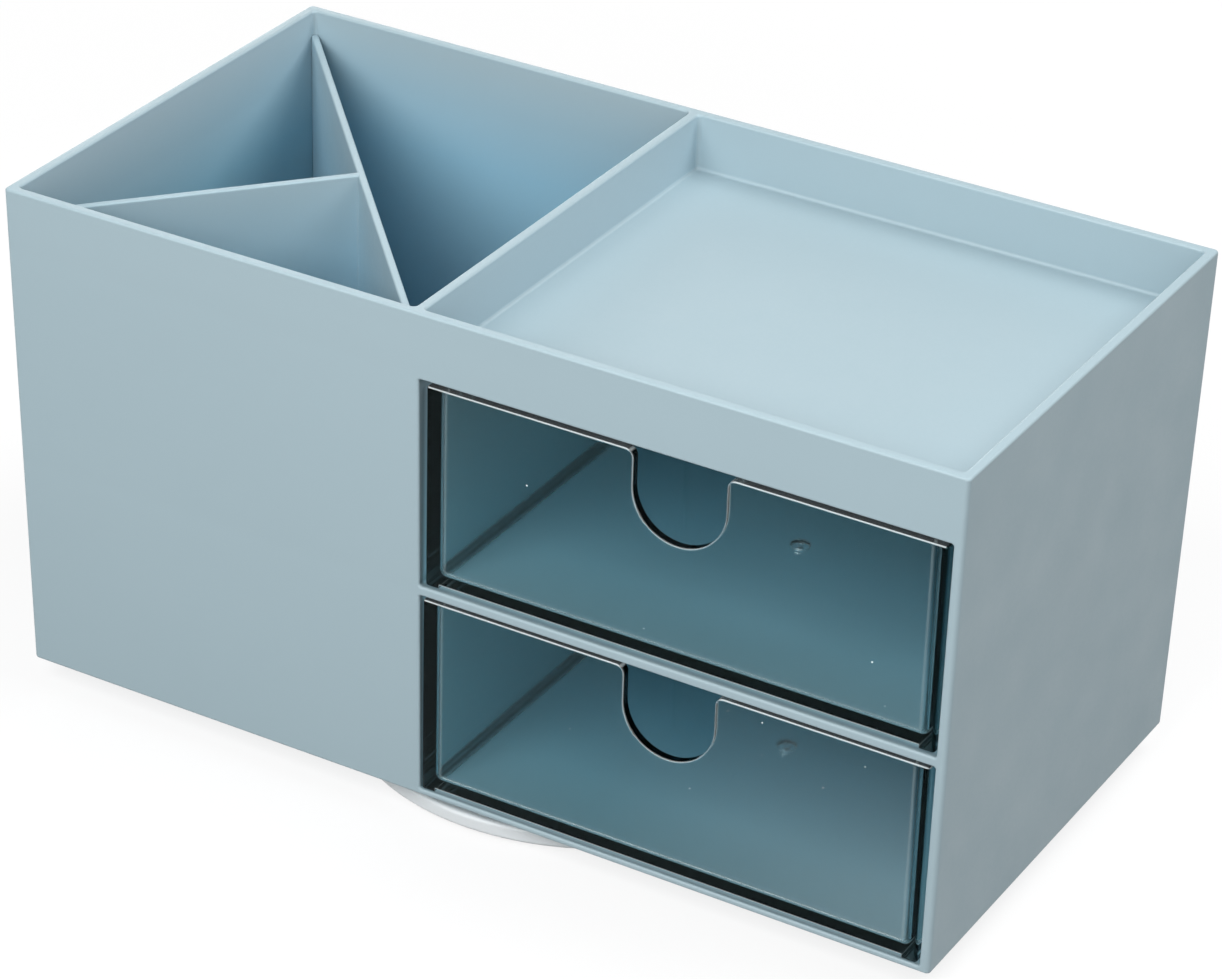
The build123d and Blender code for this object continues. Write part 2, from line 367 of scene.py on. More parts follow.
def matte_plastic(name, look, bin_shade_share, lines=()):
    """Moulded plastic with a spark-eroded grain, slow waves, sink lines, painted light and shade, and rubbed
    edges that are in part a painted highlight.
    """
    finish, tree, output, place = new_finish(name)
    clouds = grain(tree, place, look.cloud_size, CLOUDY)
    body = blend_colours(tree, clouds, *two_tones(look.colour, (1 - look.mottle, 1 + look.mottle)))
    # Painted light and shade on the inner faces of the bin, the tray and the drawer bays.
    body = painted_inner_shading(tree, place, look, body, bin_shade_share)
    # Rubbed edges: wear, and in part a painted highlight along the edges.
    rub = edge_rub(tree, look.rub_reach, place)
    colour = blend_colours(tree, product(tree, rub, look.rub_and_highlight_amount), body, tinted(look.rub_colour))
    # Painted shade in the corners of the drawer bays and before each drawer.
    colour = blend_colours(tree, gap_shade(tree, place, look), colour, tinted(look.gap_shade_colour))
    smudge = drift(tree, grain(tree, place, SMUDGE_SIZE, RAGGED), *SMUDGE_ROUGH)
    speckle = drift(tree, grain(tree, place, SPECKLE_SIZE), *SPECKLE_ROUGH)
    rough = calc(tree, "ADD", calc(tree, "ADD", smudge, speckle), look.roughness)
    rough = calc(tree, "SUBTRACT", rough, product(tree, rub, RUB_POLISH), clamp=True)
    waves = raise_surface(tree, grain(tree, place, WAVE_SIZE, SOFT), look.wave_depth)
    if lines:
        troughs = sink_lines(tree, place, lines, look.sink_width)
        waves = raise_surface(tree, troughs, look.sink_depth, under=waves)
    fine = raise_surface(tree, grain(tree, place, look.grain_size, CRISP), look.grain_depth, under=waves)
    coat(tree, output, {"Base Color": colour, "Roughness": rough, "Normal": fine, "IOR": look.ior})
    return finish


def colour_setting(name, description, default):
    """A colour that a user can change."""
    return bpy.props.FloatVectorProperty(
        name=name, description=description, subtype="COLOR", size=3, default=default, min=0.0, max=1.0)


def share_setting(name, description, default, most=1.0):
    """A share that a user can change, from 0 up to the most."""
    return bpy.props.FloatProperty(
        name=name, description=description, subtype="FACTOR", default=default, min=0.0, max=most)


def length_setting(name, description, default):
    """A length that a user can change, in metres."""
    return bpy.props.FloatProperty(name=name, description=description, unit="LENGTH", default=default)


def index_setting(description):
    """An index of refraction that a user can change."""
    return bpy.props.FloatProperty(
        name="Index of refraction", description=description, default=PLASTIC_IOR, min=1.0, max=2.0)


def place_setting(name, description, default):
    """A place in the frame that a user can change."""
    return bpy.props.FloatVectorProperty(
        name=name, description=description, subtype="TRANSLATION", unit="LENGTH", size=3, default=default)


def power_setting(name, description, default):
    """The power of a lamp that a user can change, in watts."""
    return bpy.props.FloatProperty(
        name=name, description=description, subtype="POWER", unit="POWER", default=default)


class HousingLook(bpy.types.PropertyGroup):
    """Finish of the housing and of the divider in its bin."""

    colour: colour_setting("Colour", "Blue-grey of the moulded housing", (0.335, 0.440, 0.486))
    # Painted shade deep in the bin.
    bin_shade_colour: colour_setting(
        "Inside colour", "Deeper tone of the bin's inner faces", (0.265, 0.465, 0.580))
    # Painted light high on the bin's and tray's side walls, and painted shade further down them.
    wall_colour: colour_setting(
        "Side wall colour", "Paler tone of the bin's and tray's side walls below the rim",
        (0.380, 0.500, 0.560))
    deep_wall_shade_colour: colour_setting(
        "Deep wall colour", "Tone of the bin's side walls further down", (0.215, 0.410, 0.515))
    # Painted shade in the drawer bays, bluer at the back, and painted light on their side walls.
    bay_shade_colour: colour_setting(
        "Bay colour", "Tone of the front part of the drawer bays", (0.255, 0.405, 0.470))
    bay_back_shade_colour: colour_setting(
        "Bay back colour", "Deeper blue at the back of the drawer bays", (0.225, 0.535, 0.700))
    bay_wall_light_colour: colour_setting(
        "Bay wall colour", "Tone of the side walls of the drawer bays", (0.430, 0.760, 0.900))
    # How much of the bin's painted shade the divider takes.
    divider_shade_share: share_setting(
        "Divider depth", "How much of the bin's deeper tone the divider takes", 0.7)
    mottle: share_setting("Mottle", "How far the colour drifts over the faces", 0.018, most=0.2)
    cloud_size: length_setting("Cloud size", "Size of the slow colour clouds", 45 * MM)
    roughness: share_setting("Roughness", "Roughness of the matte skin", 0.5)
    ior: index_setting("Optical density of the plastic")
    grain_size: length_setting("Grain size", "Size of the eroded grain of the mould", 0.22 * MM)
    grain_depth: length_setting("Grain depth", "Depth of that grain", 0.006 * MM)
    wave_depth: length_setting("Wave depth", "Depth of the slow waves of a thin wall", 0.06 * MM)
    sink_width: length_setting("Sink width", "Half width of the sink lines", 1.7 * MM)
    sink_depth: length_setting("Sink depth", "Depth of the sink lines", 0.03 * MM)
    # Rubbed edges: paler from wear, and in part a painted highlight.
    rub_colour: colour_setting("Rubbed colour", "Paler tone of handled edges", (0.450, 0.525, 0.540))
    rub_reach: length_setting("Rub reach", "How far wear reaches from an edge", 0.7 * MM)
    rub_and_highlight_amount: share_setting("Rub amount", "Strength of the wear on edges", 0.5)
    # Painted shade in the gaps round the drawers: its colour, its reach and its strength.
    gap_shade_colour: colour_setting(
        "Gap colour", "Dark tone of the narrow gaps round the drawers", (0.030, 0.070, 0.085))
    corner_reach: length_setting("Corner reach", "How far the dark corners of the bays reach", 3 * MM)
    corner_dark: share_setting("Corner dark", "How dark the corners of the bays are", 0.6)
    strip_reach: length_setting("Strip reach", "Width of the dark strip before a drawer", 2 * MM)
    strip_dark: share_setting("Strip dark", "How dark the strip before a drawer is", 0.8)


class DrawerLook(bpy.types.PropertyGroup):
    """Finish of the two see-through drawers."""

    surface_tint: colour_setting(
        "Surface tint", "Colour that the polished skin lets through", (0.965, 0.985, 0.988))
    depth_tint: colour_setting("Depth tint", "Colour that thick plastic keeps", (0.300, 0.530, 0.560))
    density: bpy.props.FloatProperty(
        name="Density", description="How fast the plastic takes up light, per metre", default=105.0,
        min=0.0)
    lamp_tint: colour_setting(
        "Lamp tint", "What one skin lets through of the light from the lamps", (0.970, 0.978, 0.980))
    ior: index_setting("Optical density of the clear plastic")
    glare: colour_setting(
        "Glare", "Colour and strength of what the skin mirrors head on", (0.004, 0.100, 0.115))
    roughness: share_setting("Roughness", "Roughness of the polished skin", 0.03)
    smudge: share_setting("Smudge", "Extra roughness where fingers have been", 0.05)
    scratch_depth: length_setting("Scratch depth", "Depth of the fine scratches", 0.002 * MM)
    # Frosted edges, whose pale colour is in part a painted highlight.
    edge_reach: length_setting("Edge reach", "How far the frosted edges reach", 0.3 * MM)
    edge_frost_and_highlight: share_setting("Edge frost", "How pale and frosted the edges are", 0.3)
    # Pale colour of the specks, the frosted edges, the painted highlights and the painted reflection.
    speck_and_highlight_colour: colour_setting("Edge colour", "Pale tone of the bright edges", (0.86, 0.95, 0.96))
    # Painted highlights on the rounded edges, round the finger notch and along the front lip.
    highlight_band: length_setting("Edge band", "Height of the bright rounded edges", 0.6 * MM)
    edge_highlight: share_setting("Edge shine", "How pale the bright edges are", 0.7)
    notch_reach: length_setting("Notch reach", "Half width of the finger notch with its edges", 11.5 * MM)
    notch_highlight: share_setting("Notch shine", "How pale the edges of the finger notch are", 0.25)
    lip_level: length_setting("Lip level", "Height of the front lip above the runners' foot", 0.9 * MM)
    corner_blur: share_setting("Corner blur", "Roughness of the hollows between floor and walls", 0.4)
    # Painted reflection: a pale haze on each drawer's front.
    upper_reflection: share_setting("Upper film", "Pale film on the upper drawer's front", 0.015)
    lower_reflection: share_setting("Lower film", "Pale film on the lower drawer's front", 0.085)
    # Painted shade on the right edge of each drawer's front.
    upper_side_shade: share_setting("Upper edge", "How dark the right edge of the upper drawer's front is", 0.95)
    lower_side_shade: share_setting("Lower edge", "How dark the right edge of the lower drawer's front is", 0.35)
    # Painted highlight line round the inside of the front.
    inner_highlight: share_setting("Inner shine", "How bright the line round the inside of the front is", 0.13)
    # How much paler the flat top of the walls is.
    top_paleness: share_setting("Top frost", "How frosted the flat top of the walls is", 0.12)
    speck_cell: length_setting("Speck spacing", "Spacing of the small specks in the plastic", 7 * MM)
    speck_radius: length_setting("Speck radius", "Radius of the largest specks", 0.26 * MM)


class TurntableLook(bpy.types.PropertyGroup):
    """Finish of the swivel base, its plate, its bearing, its fasteners and its foot."""

    colour: colour_setting(
        "Base colour", "Pale grey of the swivel base and its plate", (0.720, 0.760, 0.780))
    rub_colour: colour_setting("Rubbed base colour", "Paler tone of the base's edges", (0.86, 0.86, 0.86))
    ior: index_setting("Optical density of the base")
    roughness: share_setting("Base roughness", "Roughness of the satin base", 0.38)
    turning_pitch: length_setting(
        "Turning pitch", "Spacing of the tool rings that the mould leaves", 0.5 * MM)
    turning_depth: length_setting("Turning depth", "Depth of those rings", 0.004 * MM)
    cage_colour: colour_setting("Cage colour", "Natural nylon of the ball cage", (0.760, 0.730, 0.640))
    steel_colour: colour_setting(
        "Steel colour", "Bright steel of the screws, washer and balls", (0.560, 0.560, 0.570))
    rubber_colour: colour_setting("Rubber colour", "Dark rubber of the foot ring", (0.022, 0.022, 0.024))
    dust_colour: colour_setting("Dust colour", "Dust in the rubber's grain", (0.11, 0.108, 0.104))


class StageLook(bpy.types.PropertyGroup):
    """Floor, lamps, ambient light and camera."""

    floor_size: length_setting("Floor size", "Side of the square floor", 8.0)
    floor_colour: colour_setting("Floor colour", "Colour of the plain floor", (0.21, 0.21, 0.21))
    floor_glow: share_setting(
        "Floor glow", "Plain white that the eye sees on the floor besides its own colour", 0.80)
    ambient: bpy.props.FloatProperty(
        name="Ambient", description="Strength of the even light from all round", default=0.04, min=0.0)
    lamp_aim: place_setting("Lamp aim", "Where all softboxes point", (0.0, 0.0, 0.05))
    side_place: place_setting("Side place", "Where the softbox high on the right hangs", (0.45, 0.24, 0.80))
    side_size: length_setting("Side size", "Side of the softbox on the right", 0.6)
    side_power: power_setting("Side softbox", "Power of the softbox high on the right", 6.75)
    key_place: place_setting("Front place", "Where the softbox high in front hangs", (-0.08, -0.60, 0.62))
    key_power: power_setting("Front softbox", "Power of the softbox high in front", 5.6)
    fill_place: place_setting("Low place", "Where the low softbox stands", (0.30, -0.85, 0.36))
    fill_power: power_setting("Low softbox", "Power of the low softbox that looks into the drawers", 3.2)
    back_place: place_setting("Back place", "Where the softbox behind stands", (-0.70, 0.75, 0.26))
    back_power: power_setting("Back softbox", "Power of the weak softbox behind, on the left", 2.6)
    softbox_size: length_setting("Softbox size", "Side of the other softboxes", 0.5)
    camera_place: place_setting("Camera place", "Where the camera stands", (0.3697, -0.6442, 0.4734))
    camera_turn: bpy.props.FloatVectorProperty(
        name="Camera turn", description="How the camera is turned", subtype="EULER", unit="ROTATION",
        size=3, default=(1.053388, -0.026313, 0.533296))
    camera_lens: bpy.props.FloatProperty(
        name="Lens", description="Focal length for a sensor 36 mm wide, in millimetres", default=132.15,
        min=1.0)


class ORGANISER_OT_housing(bpy.types.Operator):
    """Dress the housing in matte blue-grey plastic, with sink lines where its floors meet its walls."""

    bl_idname = "organiser.housing"
    bl_label = "Housing"

    def execute(self, context):
        """Sink lines lie at the shelf, the tray floor and the wall between bin and drawers."""
        shelf_middle = upper_low.z - SHELF_OFFSET
        tray_middle = shell_high.z - TRAY_OFFSET
        lines = (("Z", shelf_middle), ("Z", tray_middle), ("X", partition_middle))
        look = context.scene.organiser_housing
        dress("body_shell", matte_plastic("housing_matte_plastic", look, bin_shade_share=1.0, lines=lines))
        return {"FINISHED"}


class ORGANISER_OT_divider(bpy.types.Operator):
    """Dress the drop-in divider of the bin in the same plastic as the housing, with part of the bin's
    painted shade.
    """

    bl_idname = "organiser.divider"
    bl_label = "Bin Divider"

    def execute(self, context):
        """The divider has no ribs behind it, so it has no sink lines."""
        look = context.scene.organiser_housing
        dress("bin_divider", matte_plastic("divider_matte_plastic", look, bin_shade_share=look.divider_shade_share))
        return {"FINISHED"}


# How far a rounded edge is turned between two axes where its painted highlight begins, and where it is full;
# for the hollow, where its extra roughness begins and is full.
TOP_BEND = (0.28, 0.47)
NOTCH_BEND = (0.2, 0.45)
LIP_BEND = (0.1, 0.35)
HOLLOW_BEND = (0.02, 0.15)

# How squarely a flat top faces up, and the height of a notch with its edges in half widths of it.
FLAT_TOP = 0.95
NOTCH_HEIGHT = 1.6

# Levels above a drawer's foot: one inside its floor, one above the hollow over the floor.
FLOOR_LEVEL = 1.7 * MM
HOLLOW_LEVEL = 4 * MM


def painted_edge_highlights(tree, place, look, low, high):
    """Painted highlights on a drawer's rounded edges, along its top, its finger notch and its front lip,
    with a paler flat top, else 0.
    """
    across, along, up = facing(tree, "XYZ")
    x, height = split(tree, place, "XZ")
    near_top = spread(tree, height, high.z - look.highlight_band, high.z - look.highlight_band / 2, 0.0, 1.0)
    upper_bend = product(tree, up, largest(tree, across, along))
    rounded_top = spread(tree, upper_bend, *TOP_BEND, 0.0, look.edge_highlight)
    # The flat top of the walls is made paler.
    flat_top = product(tree, is_above(tree, up, FLAT_TOP), look.top_paleness)
    top = product(tree, largest(tree, rounded_top, flat_top), near_top)
    front_bend = product(tree, along, largest(tree, across, up))
    rounded_front = spread(tree, front_bend, *NOTCH_BEND, 0.0, look.notch_highlight)
    from_middle = calc(tree, "ABSOLUTE", calc(tree, "SUBTRACT", x, (low.x + high.x) / 2))
    beside_notch = is_below(tree, from_middle, look.notch_reach)
    above_notch = is_above(tree, height, high.z - look.notch_reach * NOTCH_HEIGHT)
    notch = product(tree, rounded_front, beside_notch, above_notch)
    from_lip = calc(tree, "ABSOLUTE", calc(tree, "SUBTRACT", height, low.z + look.lip_level))
    rounded_lip = spread(tree, product(tree, along, up), *LIP_BEND, 0.0, look.edge_highlight)
    lip = product(tree, rounded_lip, is_below(tree, from_lip, look.highlight_band / 2))
    return largest(tree, top, notch, lip)


def soft_corner(tree, place, low):
    """1 on the hollow that joins a drawer's floor to its side walls inside, else 0."""
    across, up = facing(tree, "XZ")
    (height,) = split(tree, place, "Z")
    bent = spread(tree, product(tree, up, across), *HOLLOW_BEND, 0.0, 1.0)
    above_floor = is_above(tree, height, low.z + FLOOR_LEVEL)
    below_wall = is_below(tree, height, low.z + HOLLOW_LEVEL)
    return product(tree, bent, above_floor, below_wall)


# The painted reflection on a drawer's front: the depth that counts as the front, its start left of the
# middle, the level up to which it is full, its share at the top, and how it fades out before the right side
# and the foot.
FRONT_SKIN = 0.3 * MM
REFLECTION_START = 15 * MM
REFLECTION_LEVEL = 12 * MM
REFLECTION_TOP_SHARE = 0.15
REFLECTION_SIDE_FADE = (3 * MM, 2 * MM)
REFLECTION_FOOT_FADE = (3.4 * MM, 4.4 * MM)


def painted_front_reflection(tree, place, low, high, film):
    """A painted reflection on the front face, a pale haze fullest at its lower right."""
    x, y, z = split(tree, place, "XYZ")
    on_front = is_below(tree, y, low.y + FRONT_SKIN)
    to_right = spread(tree, x, (low.x + high.x) / 2 - REFLECTION_START, high.x, 0.0, film)
    to_foot = spread(tree, z, low.z + REFLECTION_LEVEL, high.z, 1.0, REFLECTION_TOP_SHARE)
    side_begins, side_ends = REFLECTION_SIDE_FADE
    off_side = spread(tree, x, high.x - side_begins, high.x - side_ends, 1.0, 0.0)
    foot_begins, foot_ends = REFLECTION_FOOT_FADE
    off_foot = spread(tree, z, low.z + foot_begins, low.z + foot_ends, 0.0, 1.0)
    return product(tree, on_front, off_side, off_foot, to_right, to_foot)


# The painted highlight line round the inside of the front: its distances behind the front, how far it stays
# below the top, the level under which it also runs below the notch, and the turn over which it begins and
# ends.
LINE_FRONT = 1.8 * MM
LINE_BACK = 2.6 * MM
LINE_TOP_GAP = 1 * MM
LINE_FOOT_LEVEL = 5 * MM
LINE_BEGINS = (0.04, 0.12)
LINE_ENDS = (0.2, 0.4)


def painted_inner_highlight(tree, place, look, low, high):
    """A fine painted highlight line where the front's inner face turns into the floor and the side walls."""
    x, y, z = split(tree, place, "XYZ")
    turn = largest(tree, *facing(tree, "XZ"))
    begins = spread(tree, turn, *LINE_BEGINS, 0.0, look.inner_highlight)
    ends = spread(tree, turn, *LINE_ENDS, 1.0, 0.0)
    behind_front = is_above(tree, y, low.y + LINE_FRONT)
    near_front = is_below(tree, y, low.y + LINE_BACK)
    above_floor = is_above(tree, z, low.z + FLOOR_LEVEL)
    below_top = is_below(tree, z, high.z - LINE_TOP_GAP)
    from_middle = calc(tree, "ABSOLUTE", calc(tree, "SUBTRACT", x, (low.x + high.x) / 2))
    off_notch = is_above(tree, from_middle, look.notch_reach)
    at_foot = is_below(tree, z, low.z + LINE_FOOT_LEVEL)
    shown = largest(tree, off_notch, at_foot)
    return product(tree, shown, behind_front, near_front, above_floor, below_top, begins, ends)


# The width and the depth of the painted shade on the front's right edge.
SIDE_SKIN = 0.6 * MM
SIDE_DEPTH = 3 * MM


def painted_side_shade(tree, place, low, high, dark):
    """Painted shade: a dark strip on the front's thick right edge beside the opening."""
    x, y = split(tree, place, "XY")
    at_side = is_above(tree, x, high.x - SIDE_SKIN)
    at_front = is_below(tree, y, low.y + SIDE_DEPTH)
    return product(tree, at_side, at_front, dark)


# Scratches run two ways as long, thin threads of noise, in patches of a given size.
SCRATCH_TURNS = ((0.3, 0.7, 0.2), (1.9, 0.4, 2.3))
SCRATCH_SCALE = (60.0, 2600.0, 2600.0)
SCRATCH_THREAD = (0.68, 0.76)
SCRATCH_PATCH = 30 * MM
SCRATCH_PATCH_NOISE = (0.45, 0.65)

# Only the cells of the pattern whose chance is above this hold a speck.
SPECK_CHANCE = 0.55


def specks_in(tree, place, look):
    """1 on small specks strewn through the plastic, else 0."""
    cells = add(tree, "TexVoronoi", {"Vector": place, "Scale": 1.0 / look.speck_cell, "Randomness": 1.0})
    chance = add(tree, "SeparateColor", {0: cells.outputs["Color"]}).outputs[0]
    size = spread(tree, chance, SPECK_CHANCE, 1.0, 0.0, look.speck_radius / look.speck_cell)
    return is_below(tree, cells.outputs["Distance"], size)


def scratches_on(tree, place):
    """1 on fine scratches that run two ways, in patches, else 0."""
    threads = 0.0
    for turn in SCRATCH_TURNS:
        run = stretched(tree, place, SCRATCH_SCALE, turn)
        thread = grain(tree, run, 1.0, SOFT)
        threads = calc(tree, "ADD", threads, spread(tree, thread, *SCRATCH_THREAD, 0.0, 1.0), clamp=True)
    patches = spread(tree, grain(tree, place, SCRATCH_PATCH), *SCRATCH_PATCH_NOISE, 0.0, 1.0)
    return product(tree, threads, patches)


# Marks on the clear plastic: their sizes, the noise over which finger marks begin and are full, and the
# roughness that each mark adds.
FINGER_SIZE = 18 * MM
FINGER_NOISE = (0.48, 0.7)
RIPPLE_SIZE = 16 * MM
RIPPLE_DEPTH = 0.012 * MM
SCRATCH_ROUGH = 0.06
SPECK_ROUGH = 0.4
FROST_ROUGH = 0.3

# What a fully pale place still lets through, and how dark the painted shade on the right edge is against the
# glare.
PALE_CLEAR = 0.05
EDGE_GLARE = 0.5


def clear_plastic(name, look, box, film, side_shade_amount):
    """Polished smoke-teal plastic with frosted edges, painted highlights, a painted reflection and a painted
    shade on its front, smudges, fine scratches and small specks in it.
    """
    low, high = box
    finish, tree, output, place = new_finish(name)
    specks = specks_in(tree, place, look)
    scratches = scratches_on(tree, place)
    # Frosted edges, and painted highlights on the rounded edges.
    frost = product(tree, edge_near(tree, look.edge_reach), look.edge_frost_and_highlight)
    frost = largest(tree, frost, painted_edge_highlights(tree, place, look, low, high))
    # A painted reflection on the front.
    film = painted_front_reflection(tree, place, low, high, film)
    # Pale places: real specks, frosted edges, painted highlights and a painted reflection.
    pale = largest(tree, specks, frost, film, painted_inner_highlight(tree, place, look, low, high))
    rough = spread(tree, grain(tree, place, FINGER_SIZE, RAGGED), *FINGER_NOISE, 0.0, look.smudge)
    rough = calc(tree, "ADD", rough, look.roughness)
    rough = calc(tree, "ADD", rough, product(tree, scratches, SCRATCH_ROUGH))
    rough = calc(tree, "ADD", rough, product(tree, specks, SPECK_ROUGH), clamp=True)
    rough = calc(tree, "ADD", rough, product(tree, soft_corner(tree, place, low), look.corner_blur))
    rough = calc(tree, "ADD", rough, product(tree, frost, FROST_ROUGH), clamp=True)
    ripples = raise_surface(tree, grain(tree, place, RIPPLE_SIZE, SOFT), RIPPLE_DEPTH)
    skin = raise_surface(tree, scratches, -look.scratch_depth, under=ripples)
    colour = blend_colours(tree, pale, tinted(look.surface_tint), tinted(look.speck_and_highlight_colour))
    # Painted shade on the front's right edge.
    edge = painted_side_shade(tree, place, low, high, side_shade_amount)
    colour = blend_colours(tree, edge, colour, tinted(look.glare, EDGE_GLARE))
    clear = spread(tree, pale, 0.0, 1.0, 1.0, PALE_CLEAR)
    glass = add(tree, "BsdfPrincipled", {
        "Base Color": colour, "Roughness": rough, "Normal": skin,
        "IOR": look.ior, "Transmission Weight": clear, "Specular Tint": tinted(look.glare)})
    passing = add(tree, "BsdfTransparent", {"Color": tinted(look.lamp_tint)})
    path = add(tree, "LightPath")
    from_lamps = largest(tree, path.outputs["Is Shadow Ray"], path.outputs["Is Diffuse Ray"])
    both = add(tree, "MixShader", {0: from_lamps, 1: glass.outputs["BSDF"], 2: passing.outputs["BSDF"]})
    feed(tree, output.inputs["Surface"], both.outputs["Shader"])
    depth = add(tree, "VolumeAbsorption", {"Color": tinted(look.depth_tint), "Density": look.density})
    feed(tree, output.inputs["Volume"], depth.outputs["Volume"])
    return finish


class ORGANISER_OT_drawers(bpy.types.Operator):
    """Dress both drawers in polished, see-through smoke-teal plastic."""

    bl_idname = "organiser.drawers"
    bl_label = "Drawers"

    def execute(self, context):
        """Both drawers are one plastic; each has its painted edge highlights at its own height."""
        look = context.scene.organiser_drawers
        upper_box = (upper_low, upper_high)
        lower_box = (lower_low, lower_high)
        upper = clear_plastic("upper_clear_plastic", look, upper_box, look.upper_reflection, look.upper_side_shade)
        lower = clear_plastic("lower_clear_plastic", look, lower_box, look.lower_reflection, look.lower_side_shade)
        dress("drawer_upper", upper)
        dress("drawer_lower", lower)
        return {"FINISHED"}


# The satin base: its clouds, smudges and grain, and how its edges are rubbed.
BASE_CLOUD_SIZE = 20 * MM
BASE_TONES = (0.97, 1.02)
BASE_SMUDGE_SIZE = 9 * MM
BASE_SMUDGE_ROUGH = (-0.07, 0.07)
BASE_GRAIN_SIZE = 0.25 * MM
BASE_GRAIN_DEPTH = 0.004 * MM
BASE_RUB_REACH = 0.5 * MM
BASE_RUB_AMOUNT = 0.35


def rings(tree, place, pitch):
    """Rings round the vertical axis, as a turned mould leaves them, between 0 and 1."""
    x, y = split(tree, place, "XY")
    radius = calc(tree, "SQRT", calc(tree, "ADD", product(tree, x, x), product(tree, y, y)))
    turns = calc(tree, "SINE", product(tree, radius, math.tau / pitch))
    return spread(tree, turns, -1.0, 1.0, 0.0, 1.0)


class ORGANISER_OT_turntable(bpy.types.Operator):
    """Dress the swivel base and its plate in pale satin plastic with faint tool rings."""

    bl_idname = "organiser.turntable"
    bl_label = "Swivel Base and Plate"

    def execute(self, context):
        """The rings turn round the axis of the swivel, which is the frame's own axis."""
        look = context.scene.organiser_turntable
        finish, tree, output, place = new_finish("base_satin_plastic")
        clouds = grain(tree, place, BASE_CLOUD_SIZE, CLOUDY)
        body = blend_colours(tree, clouds, *two_tones(look.colour, BASE_TONES))
        rub = product(tree, edge_rub(tree, BASE_RUB_REACH, place), BASE_RUB_AMOUNT)
        colour = blend_colours(tree, rub, body, tinted(look.rub_colour))
        smudge = drift(tree, grain(tree, place, BASE_SMUDGE_SIZE, RAGGED), *BASE_SMUDGE_ROUGH)
        rough = calc(tree, "ADD", smudge, look.roughness, clamp=True)
        turned = raise_surface(tree, rings(tree, place, look.turning_pitch), look.turning_depth)
        fine = raise_surface(tree, grain(tree, place, BASE_GRAIN_SIZE), BASE_GRAIN_DEPTH, under=turned)
        coat(tree, output, {"Base Color": colour, "Roughness": rough, "Normal": fine, "IOR": look.ior})
        dress("swivel_base", finish)
        dress("swivel_plate", finish)
        return {"FINISHED"}


# The bright steel: the film on it, its range of roughness and its turning marks.
STEEL_FILM_SIZE = 2 * MM
STEEL_FILM_NOISE = (0.35, 0.7)
STEEL_TONES = (1.08, 0.82)
STEEL_ROUGH_SIZE = 0.6 * MM
STEEL_ROUGH = (0.2, 0.36)
MARK_STRETCH = (1.0, 1.0, 9.0)
MARK_SIZE = 0.15 * MM
MARK_DEPTH = 0.003 * MM


class ORGANISER_OT_steel(bpy.types.Operator):
    """Dress the screws, the washer and the balls in bright steel with fine turning marks."""

    bl_idname = "organiser.steel"
    bl_label = "Screws, Washer and Balls"

    def execute(self, context):
        """Marks are finer than a screw slot, under a thin film that darkens the steel in patches."""
        look = context.scene.organiser_turntable
        finish, tree, output, place = new_finish("bright_steel")
        film = spread(tree, grain(tree, place, STEEL_FILM_SIZE, RAGGED), *STEEL_FILM_NOISE, 0.0, 1.0)
        colour = blend_colours(tree, film, *two_tones(look.steel_colour, STEEL_TONES))
        rough = drift(tree, grain(tree, place, STEEL_ROUGH_SIZE, CLOUDY), *STEEL_ROUGH)
        marks = grain(tree, stretched(tree, place, MARK_STRETCH), MARK_SIZE)
        fine = raise_surface(tree, marks, MARK_DEPTH)
        coat(tree, output, {"Base Color": colour, "Metallic": 1.0, "Roughness": rough, "Normal": fine})
        for node in ("plate_screws", "pivot_screw", "pivot_washer", "bearing_balls"):
            dress(node, finish)
        return {"FINISHED"}


# The waxy nylon: its film, its range of roughness, its grain and how far light goes into it.
NYLON_FILM_SIZE = 5 * MM
NYLON_TONES = (0.93, 1.04)
NYLON_ROUGH_SIZE = 1.5 * MM
NYLON_ROUGH = (0.36, 0.52)
NYLON_GRAIN_SIZE = 0.3 * MM
NYLON_GRAIN_DEPTH = 0.005 * MM
NYLON_LIGHT = 0.25
NYLON_LIGHT_DEPTH = 0.6 * MM


class ORGANISER_OT_cage(bpy.types.Operator):
    """Dress the ball cage in waxy natural nylon."""

    bl_idname = "organiser.cage"
    bl_label = "Ball Cage"

    def execute(self, context):
        """Nylon lets a little light in, so its edges look soft."""
        look = context.scene.organiser_turntable
        finish, tree, output, place = new_finish("cage_nylon")
        film = grain(tree, place, NYLON_FILM_SIZE, RAGGED)
        colour = blend_colours(tree, film, *two_tones(look.cage_colour, NYLON_TONES))
        rough = drift(tree, grain(tree, place, NYLON_ROUGH_SIZE, CLOUDY), *NYLON_ROUGH)
        fine = raise_surface(tree, grain(tree, place, NYLON_GRAIN_SIZE), NYLON_GRAIN_DEPTH)
        coat(tree, output, {
            "Base Color": colour, "Roughness": rough, "Normal": fine,
            "Subsurface Weight": NYLON_LIGHT, "Subsurface Scale": NYLON_LIGHT_DEPTH})
        dress("ball_cage", finish)
        return {"FINISHED"}


# The rubber: the dust on it, its range of roughness and its grain.
DUST_SIZE = 4 * MM
DUST_NOISE = (0.45, 0.75)
DUST_MOST = 0.5
RUBBER_ROUGH_SIZE = 0.5 * MM
RUBBER_ROUGH = (0.68, 0.86)
RUBBER_GRAIN_SIZE = 0.35 * MM
RUBBER_GRAIN_DEPTH = 0.02 * MM


